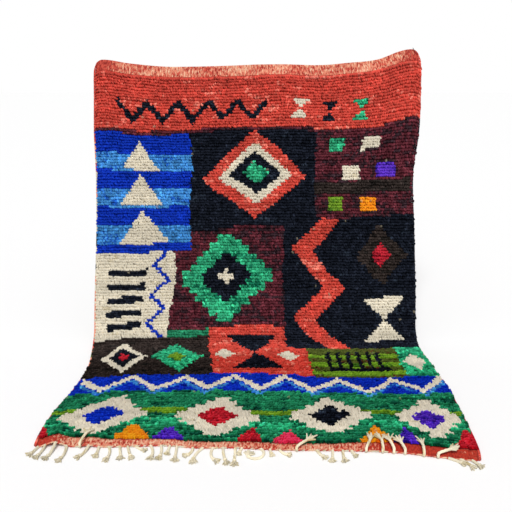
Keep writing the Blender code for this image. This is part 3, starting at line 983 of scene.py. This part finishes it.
random = np.random.default_rng(7)
pile_bands = []
for band, rows in enumerate(np.array_split(np.arange(ROWS), PILE_BANDS)):
    across, along = knot_across[rows].ravel(), knot_along[rows].ravel()
    numbers = chart[rows].ravel()
    colours = dye(numbers, across, along, 40 + band)
    lighten(colours, np.exp(hills_at(ABRASH, across, along)))
    pale = MAINS.mean(1)[numbers] ** 2
    fullness = 1 + hills_at(SWELLING, across, along) + random.normal(0, KNOT_SPREAD, len(across))
    top_row = np.repeat(rows == ROWS - 1, KNOTS)
    fullness[top_row] *= TOP_ROW_FULLER
    # Painted highlight: the top row is painted lighter, as it catches more light.
    lighten(colours, np.where(top_row, TOP_ROW_HIGHLIGHT, 1.0))
    # Painted shade for the grooves: none on the top row, less on pale yarn, more on the floor.
    depth = np.where(top_row, 0.0, 1 - PALE_YARN * pale)
    lies = 1 - ease((along - LYING_FROM) / LYING_REACH)
    depth = depth * (1 + LYING_MORE_SHADE * lies) + LYING_ADDED_SHADE * lies
    # Painted light: tufts where the rug lies on the floor are lighter, pale yarn less so.
    lighten(colours, 1 + LYING_PAINTED_LIGHT * lies * (1 - NOT_PALE * pale))
    for hills in ROW_DRIFTS:
        along = along + hills_at([hills], across, along)
    along = along + random.normal(0, KNOT_WANDER, along.shape)
    across = np.stack([across - END_SHIFT, across + END_SHIFT], axis=1).ravel()
    across = across + random.normal(0, END_WANDER[0], across.shape)
    along = np.repeat(along, 2) + random.normal(0, END_WANDER[1], across.shape)
    roots = np.stack([across, along, np.full(len(across), ROOT_HEIGHT)], axis=1)
    points = point_cloud(f"pile_{band + 1}", roots, {
        label: np.repeat(values, 2, axis=0) for label, values in {
            "yarn": colours, "fullness": fullness, "stand": STAND_LYING * lies,
            "root_shade_amount": ROOT_PAINTED_SHADE * depth, "tip_shade_amount": TIP_PAINTED_SHADE * depth,
            "tip_shade_start": TIP_SHADE_BEGINS - (TIP_SHADE_BEGINS - LYING_SHADE_START) * lies}.items()})
    piece = run_tree(points, cut_pile, {"Finish": pile_wool, "Seed": 3 + 10 * band})
    piece.data.shade_smooth()
    bake_map(piece, roots, along.min(), along.max())
    pile_bands.append(hang(piece))

# %% [markdown]
# ## The flat-woven headings
# At each end the rug is woven flat, without knots, so that the pile can't slide off its warps.
# Coral wefts are beaten down hard over pale warps. Where the beating was looser, the warps
# show as short pale streaks along the rug, except at the corners, which are beaten hardest.
# The finish draws ribs and streaks on the flat map.

# %% The headings' finish
RIB_PITCH = 0.0056
LEFT_END = (-0.77, -0.66)
LEFT_LESS, RIGHT_LESS = 0.20, -0.25
LOOSE_GRAIN, LOOSE_SHARE = (7.0, 14.0, 1.0), (0.3, 0.7, -0.06, 0.06)
YARN_GRAIN, YARN_SHARE = (150.0, 70.0, 3.0, 9.1), (0.40, 0.56)
FUZZ_GRAIN, FUZZ_HEIGHT = (300.0, 300.0), 0.7
HEADING_RELIEF = (0.8, 0.0012)


def heading_finish(name, pale_share, pale_until, weft, dark):
    """Coral wefts over pale warps, which show less at the left end and past pale_until."""
    finish = Finish(name, {"Specular IOR Level": 0.12, "Sheen Weight": 0.08})
    flat = finish.out("ShaderNodeUVMap", uv_map="flat")

    def grain(across, along, detail=2.0, shift=0.0):
        placed = finish.out("ShaderNodeMapping", {
            "Vector": flat, "Scale": (across, along, 1.0), "Location": (shift, shift, 0.0)})
        return finish.noise(placed, 1.0, detail)

    across = finish.out("ShaderNodeSeparateXYZ", {0: flat})
    pale = finish.math("ADD", finish.ramp(across, *LEFT_END, pale_share - LEFT_LESS, pale_share),
                       finish.ramp(across, *pale_until, 0.0, RIGHT_LESS))
    loose = finish.math("ADD", pale, finish.ramp(grain(*LOOSE_GRAIN), *LOOSE_SHARE))
    colour = finish.mix(finish.ramp(grain(*YARN_GRAIN), *YARN_SHARE), dark, weft)
    for streaks, more, low, high, most, over in (
            (grain(120.0, 50.0, 2.0, 3.7), loose, 0.50, 0.62, 0.85, YARNS["blush"].main),
            (grain(130.0, 46.0), loose, 0.60, 0.70, 0.80, YARNS["peach"].main),
            (grain(190.0, 60.0, 2.0, 5.3), 0.0, 0.56, 0.66, 0.70, dark)):
        amount = finish.ramp(finish.math("ADD", streaks, more), low, high, 0.0, most)
        colour = finish.mix(amount, colour, over)
    ribs = finish.add("ShaderNodeTexWave", {
        "Vector": flat, "Scale": 1 / RIB_PITCH / pi, "Distortion": 0.6, "Detail": 1.0})
    fuzz = finish.math("MULTIPLY", grain(*FUZZ_GRAIN), FUZZ_HEIGHT)
    height = finish.math("ADD", ribs.outputs["Fac"], fuzz)
    return finish.done(colour, height, *HEADING_RELIEF)


print("a heading has a rib every", RIB_PITCH, "metres")

# %% [markdown]
# The mesh of a heading is a thin sheet with the slight ripple of such a band. The top one is
# coral; the front one has been trodden a deeper red.

# %% The two headings
HEADING_COLUMNS = 420
HEADING_CLOTH = HEADING_DEPTH * 0.8
RIPPLE = Hills(0.0007, 0, 0.012, 0.007)
UPPER_SIDE = 0.001
EDGE_GAP = 0.0003


def make_heading(name, low, high, rows, finish, seed):
    """A flat-woven band from selvedge to selvedge, a little rippled."""
    piece = flat_sheet(name, np.linspace(-FIELD_HALF, FIELD_HALF, HEADING_COLUMNS),
                       np.linspace(low, high, rows), HEADING_CLOTH, finish)
    points = points_of(keep_mesh(piece).data)
    ripple = hills_at([RIPPLE._replace(seed=seed)], points[:, 0], points[:, 1])
    points[:, 2] = np.maximum(points[:, 2] + ripple * (points[:, 2] > UPPER_SIDE), 0.0)
    set_points(piece.data, points)
    return hang(piece)


heading_top = make_heading(
    "heading_top_weave", FIELD_END, RUG_LENGTH, 16,
    heading_finish("top heading wool", 0.06, (0.70, 0.80), (204, 84, 68), (146, 44, 38)), 51)
heading_front = make_heading(
    "heading_front_weave", 0.0, FIELD_START + UNDER_PILE, 18,
    heading_finish("front heading wool", 0.08, (0.40, 0.50), (190, 56, 36), (154, 38, 24)), 52)

# %% [markdown]
# ## Lines of yarn
# The selvedges, the edging and the tassels are all lines of yarn. Each is drawn as a row of
# points joined by edges, with a thickness and a colour at every point. One small tree turns
# such lines into round closed tubes. Drawing them flat and hanging them afterwards keeps them
# on the rug wherever its edge goes.

# %% Lines of yarn
class Lines:
    """Lines of yarn, gathered one at a time and made into one mesh."""

    def __init__(self):
        self.points, self.thickness, self.colours, self.edges = [], [], [], []

    def add(self, points, thickness, colour, closed=False):
        first, count = len(self.points), len(points)
        self.points.extend(np.asarray(points).tolist())
        self.thickness.extend(np.broadcast_to(thickness, count).tolist())
        self.colours.extend([colour] * count)
        self.edges.extend((first + i, first + i + 1) for i in range(count - 1))
        if closed:
            self.edges.append((first + count - 1, first))


def yarn_tree():
    """A round closed tube along every line, as thick as its points say."""
    nodes, given = new_tree("round yarn", {"Sides": 6})
    line = nodes.out("GeometryNodeMeshToCurve", {"Mesh": given["Geometry"]})
    ring = nodes.out("GeometryNodeCurvePrimitiveCircle",
                     {"Resolution": given["Sides"], "Radius": 0.5}, mode="RADIUS")
    tube = nodes.out("GeometryNodeCurveToMesh",
                     {"Curve": line, "Profile Curve": ring, "Scale": nodes.stored("thickness"),
                      "Fill Caps": True})
    return finish_tree(nodes, tube, given)


round_yarn = yarn_tree()


def make_lines(name, lines, finish, sides):
    """Turn gathered lines into round yarn with this many sides, and hang it."""
    thing = point_cloud(name, lines.points, {"thickness": lines.thickness, "yarn": lines.colours})
    thing.data.edges.add(len(lines.edges))
    thing.data.edges.foreach_set("vertices", np.array(lines.edges, np.int32).ravel())
    piece = run_tree(thing, round_yarn, {"Finish": finish, "Sides": sides})
    piece.data.shade_smooth()
    return hang(piece)


def yarn_colour(name, random, share=1.0):
    """One colour of this yarn, as dyed by hand."""
    yarn = YARNS[name]
    mix = random.uniform(0.0, 1.0) if random.random() < yarn.flecks else 0.0
    colour = light_values(yarn.main) * (1 - mix) + light_values(yarn.fleck) * mix
    return (*np.clip(colour * share * np.exp(yarn.spread * random.normal()), 0, 1), 1.0)


print("named inputs:", [item.name for item in round_yarn.interface.items_tree])

# %% [markdown]
# ## The selvedges
# Down each long side the outer warps are bundled and wrapped with wool into a round cord. It
# takes the wear. The weaver wraps with whatever yarn is at hand, so its colour changes along
# the side. Each wrap is a ring of yarn, tilted as a spiral would be, round a plain core. The
# last wefts pull the cords in a little at the top corners, and at the right one a short dark
# end is left loose.

# %% The selvedges
WRAP_PITCH = 0.0056
WRAP_THICKNESS = 0.0062
WRAP_UNEVEN = (0.9, 1.08)
WRAP_TILT = 0.0022
WRAP_POINTS = 8
WRAP_CHANGES = 0.16
CORE_RADIUS = SELVEDGE_RADIUS - WRAP_THICKNESS * 0.35
CORE_THICKNESS = CORE_RADIUS * 2 + 0.0022
CORE_POINTS = 240
OFF_FLOOR = 0.0002
LAST_WRAP = RUG_LENGTH - 0.006
CORNER_PULL = 0.007
CORNER_LENGTH = 0.030
LOOSE_END = ((0.776, -0.012, 0.0050), (0.773, -0.005, 0.0060),
             (0.769, 0.001, 0.0075), (0.765, 0.006, 0.0070))
LOOSE_THICKNESS = 0.0030
Run = namedtuple("Run", "up_to yarns")
LEFT_WRAPS = (
    Run(0.055, ("coral", "crimson")),
    Run(0.30, ("burgundy", "crimson")),
    Run(0.55, ("coral", "olive", "crimson")),
    Run(0.88, ("coral", "blush", "olive")),
    Run(1.45, ("ecru", "blush", "cream", "black")),
    Run(1.95, ("coral", "blush", "cream")),
    Run(2.30, ("coral",)),
)
RIGHT_WRAPS = (
    Run(0.05, ("coral",)),
    Run(0.60, ("burgundy", "crimson")),
    Run(0.85, ("crimson", "burgundy")),
    Run(1.55, ("black",)),
    Run(1.95, ("black", "burgundy")),
    Run(2.30, ("coral",)),
)


def make_selvedge(name, side, runs, seed):
    """A core of warps inside a row of tilted wraps, whose yarn changes now and then."""
    random = np.random.default_rng(seed)
    lines = Lines()

    def middle(along):
        pull = CORNER_PULL * ease((along - RUG_LENGTH + CORNER_LENGTH) / CORNER_LENGTH)
        return side * (HALF_WIDTH - SELVEDGE_RADIUS - pull)

    turns = np.linspace(0, 2 * pi, WRAP_POINTS, endpoint=False)
    along, yarn = WRAP_PITCH / 2, runs[0].yarns[0]
    while along < LAST_WRAP:
        run = next(run for run in runs if along < run.up_to)
        if random.random() < WRAP_CHANGES or yarn not in run.yarns:
            yarn = run.yarns[random.integers(len(run.yarns))]
        ring = np.stack([middle(along) + CORE_RADIUS * np.cos(turns),
                         along + WRAP_TILT * np.sin(turns + side),
                         SELVEDGE_RADIUS + CORE_RADIUS * np.sin(turns)], axis=1)
        thick = WRAP_THICKNESS * random.uniform(*WRAP_UNEVEN)
        ring[:, 2] = np.maximum(ring[:, 2], thick / 2 + OFF_FLOOR)
        lines.add(ring, thick, yarn_colour(yarn, random), closed=True)
        along += WRAP_PITCH
    along = np.linspace(0.0, LAST_WRAP, CORE_POINTS)
    core = np.stack([middle(along), along, np.full(CORE_POINTS, SELVEDGE_RADIUS)], axis=1)
    lines.add(core, CORE_THICKNESS, yarn_colour("burgundy", random))
    if side > 0:
        lines.add(np.array(LOOSE_END) + (0.0, RUG_LENGTH, 0.0), LOOSE_THICKNESS,
                  yarn_colour("black", random))
    return make_lines(name, lines, selvedge_wool, sides=5)


selvedges = [make_selvedge("selvedge_left_wrapped", -1, LEFT_WRAPS, 61),
             make_selvedge("selvedge_right_wrapped", 1, RIGHT_WRAPS, 62)]

# %% [markdown]
# ## The fringe
# The warps leave the front heading, are twisted into cords and knotted, and their cut ends
# fray into brushes. Most tassels lie forward on the floor; eight were thrown back over the
# edge when the rug was laid, and one has curled into a loop. The tables give each tassel's
# place, aim, curl and length, as in the CAD part. Those near the two corners have been
# trodden a little darker than those in the middle.

# %% The fringe's tables
Lying = namedtuple("Lying", "root aim curl length")
LYING_TASSELS = [Lying(*row) for row in (
    (-0.784, -22, -12, 0.054), (-0.758, -16, -10, 0.070), (-0.720, -14, -15, 0.078),
    (-0.681, 4, -28, 0.090), (-0.599, -10, -40, 0.075), (-0.562, -4, 0, 0.056),
    (-0.526, 21, -45, 0.084), (-0.487, 10, 2, 0.072), (-0.458, 13, 10, 0.074),
    (-0.428, 34, 40, 0.046), (-0.376, 31, -50, 0.083), (-0.337, 14, -26, 0.076),
    (-0.305, -6, 0, 0.049), (-0.279, 1, 0, 0.082), (-0.220, 8, -70, 0.063),
    (-0.183, -41, 45, 0.091), (-0.146, -22, 76, 0.092), (-0.110, 5, 16, 0.094),
    (-0.066, 6, -10, 0.097), (-0.042, -14, 0, 0.034), (0.027, 54, -252, 0.138),
    (0.060, 12, 12, 0.034), (0.095, 24, 60, 0.052), (0.229, 24, 30, 0.056),
    (0.286, 6, -10, 0.064), (0.323, 3, 15, 0.064), (0.354, 20, 20, 0.034),
    (0.690, 76, -22, 0.063), (0.730, 58, -18, 0.061), (0.769, 50, -10, 0.047),
)]
Thrown = namedtuple("Thrown", "root across back")
THROWN_TASSELS = [Thrown(*row) for row in (
    (-0.631, 0.026, 0.088), (0.157, 0.061, 0.056), (0.407, 0.022, 0.075), (0.466, -0.010, 0.079),
    (0.505, -0.028, 0.074), (0.544, -0.029, 0.062), (0.608, -0.008, 0.062), (0.656, 0.070, 0.040),
)]
TURN_BACK = ((-0.0055, 0.0046), (-0.0120, 0.0075), (-0.0130, 0.0130), (-0.0060, 0.0190))
THROWN_PLACES = (0.32, 0.64, 0.86, 1.0)
THROWN_HEIGHT = PILE_DEPTH + CORD_RADIUS + 0.001
FRINGE_START = -EDGE_GAP - COMB_BACK / 2
POINT_STEP, FEWEST_POINTS = 0.004, 12
KNOT_AT = 0.74
KNOT_RADIUS, KNOT_THICKNESS = CORD_RADIUS * 1.3, CORD_RADIUS * 1.9
KNOT_SLANT, KNOT_LIFT = 0.0028, 0.001
CORD_SHARE, THROWN_SHARE = 0.80, 0.66
CORD_TWIST = 0.060
CORD_PALENESS = ((-0.70, 0.92), (-0.39, 1.05), (0.07, 1.12), (0.75, 0.94))
THROWN_PALENESS = 1.15
PLIES = 4
PLY_THICKNESS, PLY_OFFSET = CORD_RADIUS * 1.55, CORD_RADIUS * 0.75
Brush = namedtuple("Brush", "ends thick reach splay darkest")
LYING_BRUSH, BRUSH_GROWS = Brush(32, 0.0044, 0.013, 1.0, 0.62), 0.14
THROWN_BRUSH, FINGERS_FROM, FINGERS_RISE = Brush(9, 0.0062, 0.046, 0.62, 0.90), 0.60, 0.4
END_REACHES, END_SHORTER = (0.70, 1.12), 0.25
END_RISES, END_RISE = (-0.25, 0.75), 0.6
END_BENDS, END_DROPS = (-0.30, 0.30), (-0.35, 0.05)
END_SHAPE, END_GIRTHS = (1.0, 1.1, 1.1, 1.0, 0.75), (0.85, 1.2)
print(len(LYING_TASSELS), "tassels lie forward,", len(THROWN_TASSELS), "are thrown back")

# %% [markdown]
# A tassel starts as a smooth middle line. Four plies wind slowly round it. One wrap makes the
# knot, and past the knot the plies fray into a brush of loose ends. Nothing may sink into the
# floor, so each point is lifted to at least its own radius.


# %% The tassels
def smooth_line(points, count):
    """A smooth line of this many points through these points, evenly spaced."""
    points = np.array(points, float)
    steps = np.linalg.norm(np.diff(points, axis=0), axis=1)
    lengths = np.concatenate([[0], np.cumsum(steps)])
    places = np.linspace(0, lengths[-1], count)
    return np.stack([through(list(zip(lengths, values)), places) for values in points.T], axis=1)


def lying_line(tassel, steps=24):
    """The middle line of a tassel that lies forward on the floor."""
    across, along = tassel.root, FRINGE_START
    points = [(across, along, CORD_RADIUS)]
    for step in range(steps):
        heading = radians(tassel.aim + tassel.curl * (step + 0.5) / steps)
        across += np.sin(heading) * tassel.length / steps
        along -= np.cos(heading) * tassel.length / steps
        points.append((across, along, CORD_RADIUS))
    return smooth_line(points, max(FEWEST_POINTS, round(tassel.length / POINT_STEP)))


def thrown_line(tassel, count=30):
    """The middle line of a tassel that turns up and back over the edge."""
    points = [(tassel.root, along, height) for along, height in TURN_BACK]
    start = TURN_BACK[-1][0]
    for share in THROWN_PLACES:
        points.append((tassel.root + tassel.across * share,
                       start + (tassel.back - start) * share, THROWN_HEIGHT))
    return smooth_line(points, count)


def frames(line):
    """Two directions square to the line at each of its points."""
    way = np.gradient(line, axis=0)
    way /= np.linalg.norm(way, axis=1)[:, None]
    side = np.cross(way, (0.0, 0.0, 1.0))
    side /= np.maximum(np.linalg.norm(side, axis=1), 1e-6)[:, None]
    return way, side, np.cross(side, way)


def make_cord(lines, line, random, share, bright):
    """Four plies wound slowly round the first part of a tassel's line."""
    way, side, up = frames(line)
    length = np.linalg.norm(np.diff(line, axis=0), axis=1).sum()
    twist = 2 * pi * length / CORD_TWIST * np.linspace(0, 1, len(line)) + random.uniform(0, 6)
    for turn in range(PLIES):
        angle = (twist + turn * 2 * pi / PLIES)[:, None]
        points = line + (side * np.cos(angle) + up * np.sin(angle)) * PLY_OFFSET
        points[:, 2] = np.maximum(points[:, 2], PLY_THICKNESS / 2)
        points = points[:int(share * len(line)) + 1]
        lines.add(points, PLY_THICKNESS, yarn_colour("ecru", random, bright))
    return way, side, up


def make_brush(lines, base, ways, random, brush, bright):
    """A brush of loose ends that leaves the base and spreads out sideways."""
    forward, side, up = ways
    steps = np.linspace(0, 1, len(END_SHAPE))[:, None]
    for _ in range(brush.ends):
        aside = random.uniform(-1, 1)
        rise = random.uniform(*END_RISES) * END_RISE
        out = forward + side * aside * brush.splay + up * rise * brush.splay
        out /= np.linalg.norm(out)
        far = brush.reach * random.uniform(*END_REACHES) * (1 - END_SHORTER * abs(aside))
        bend = side * random.uniform(*END_BENDS) + up * random.uniform(*END_DROPS)
        points = base + out * far * steps + bend * far * steps**2
        girth = np.array(END_SHAPE) * brush.thick * random.uniform(*END_GIRTHS)
        points[:, 2] = np.maximum(points[:, 2], girth / 2)
        shade = bright * random.uniform(brush.darkest, 1.0)
        lines.add(points, girth, yarn_colour("ecru", random, shade))


def make_lying_tassel(lines, tassel, random):
    """A cord with a knot near its end and a short, full brush past the knot."""
    line, bright = lying_line(tassel), float(through(CORD_PALENESS, tassel.root))
    way, side, up = make_cord(lines, line, random, CORD_SHARE, bright)
    knot = int(KNOT_AT * len(line))
    turns = np.linspace(0, 2 * pi, 12, endpoint=False)[:, None]
    ring = line[knot] + KNOT_RADIUS * (side[knot] * np.cos(turns) + up[knot] * np.sin(turns))
    ring += way[knot] * (KNOT_SLANT * np.sin(turns))
    ring[:, 2] = np.maximum(ring[:, 2] + KNOT_LIFT, CORD_RADIUS)
    lines.add(ring, KNOT_THICKNESS, yarn_colour("ecru", random, bright), closed=True)
    base = line[int(CORD_SHARE * len(line)) - 1]
    brush = LYING_BRUSH._replace(reach=LYING_BRUSH.reach + BRUSH_GROWS * tassel.length)
    make_brush(lines, base, (way[-1], side[-1], up[-1]), random, brush, bright)


def make_thrown_tassel(lines, tassel, random):
    """A cord that opens into a few thick fingers where it lies on the pile."""
    line = thrown_line(tassel)
    way, side, up = make_cord(lines, line, random, THROWN_SHARE, THROWN_PALENESS)
    base = line[int(FINGERS_FROM * len(line))]
    make_brush(lines, base, (way[-1], side[-1], up[-1] * FINGERS_RISE), random, THROWN_BRUSH, 1.0)


random = np.random.default_rng(71)
tassels = Lines()
for tassel in LYING_TASSELS:
    make_lying_tassel(tassels, tassel, random)
for tassel in THROWN_TASSELS:
    make_thrown_tassel(tassels, tassel, random)
fringe = make_lines("fringe_tassels", tassels, fringe_cotton, sides=5)

# %% [markdown]
# ## The edging
# Where the warps leave the heading, two yarns, one pale and one coral, are twined along the
# edge to lock the last weft. From the front they show as a line of short slanted stitches
# between the tassels. No two are quite alike: each has its own length, lift and colour.

# %% The edging
STITCH_THICKNESS = 0.0044
STITCH_LENGTHS = (0.010, 0.018)
STITCH_LIFTS = (0.0, 0.0012)
STITCH_OVERLAP = (0.55, 0.95)
STITCH_LINE = ((0.0, -0.0018, 0.0026), (0.5, 0.0, 0.0040), (1.0, 0.0018, 0.0026))
STITCH_YARNS = ("ecru", "peach", "blush", "coral", "coral")
STITCH_SHADE = 0.85
FIRST_STITCH, LAST_STITCH = 0.006 - FIELD_HALF, FIELD_HALF - 0.012

stitches = Lines()
place = FIRST_STITCH
while place < LAST_STITCH:
    length, lift = random.uniform(*STITCH_LENGTHS), random.uniform(*STITCH_LIFTS)
    points = np.array(STITCH_LINE) * (length, 1.0, 1.0) + (place, FRINGE_START, lift)
    yarn = STITCH_YARNS[random.integers(len(STITCH_YARNS))]
    stitches.add(points, STITCH_THICKNESS, yarn_colour(yarn, random, STITCH_SHADE))
    place += length * random.uniform(*STITCH_OVERLAP)
edging = make_lines("front_edging", stitches, fringe_cotton, sides=6)

# %% [markdown]
# ## Hand over
# Every piece rides on the rug's one body, and each new piece stands for the CAD solid of its own
# part, which is hidden.

# %% Hand over
PIECES = (
    ([ground, *pile_bands], "pile_wool", "pile_field"),
    ([heading_top], "heading_wool", "heading_top"),
    ([heading_front], "heading_wool", "heading_front"),
    ([selvedges[0]], "selvedge_wool", "selvedge_left"),
    ([selvedges[1]], "selvedge_wool", "selvedge_right"),
    ([fringe, edging], "fringe_cotton", "fringe"),
)
for pieces, slot, node in PIECES:
    for piece in pieces:
        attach(piece, "root")
    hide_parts(node)
others = [piece for pieces, slot, node in PIECES for piece in pieces if piece is not ground]
print("in all", sum(count_triangles(piece) for piece in [ground, *others]), "triangles")
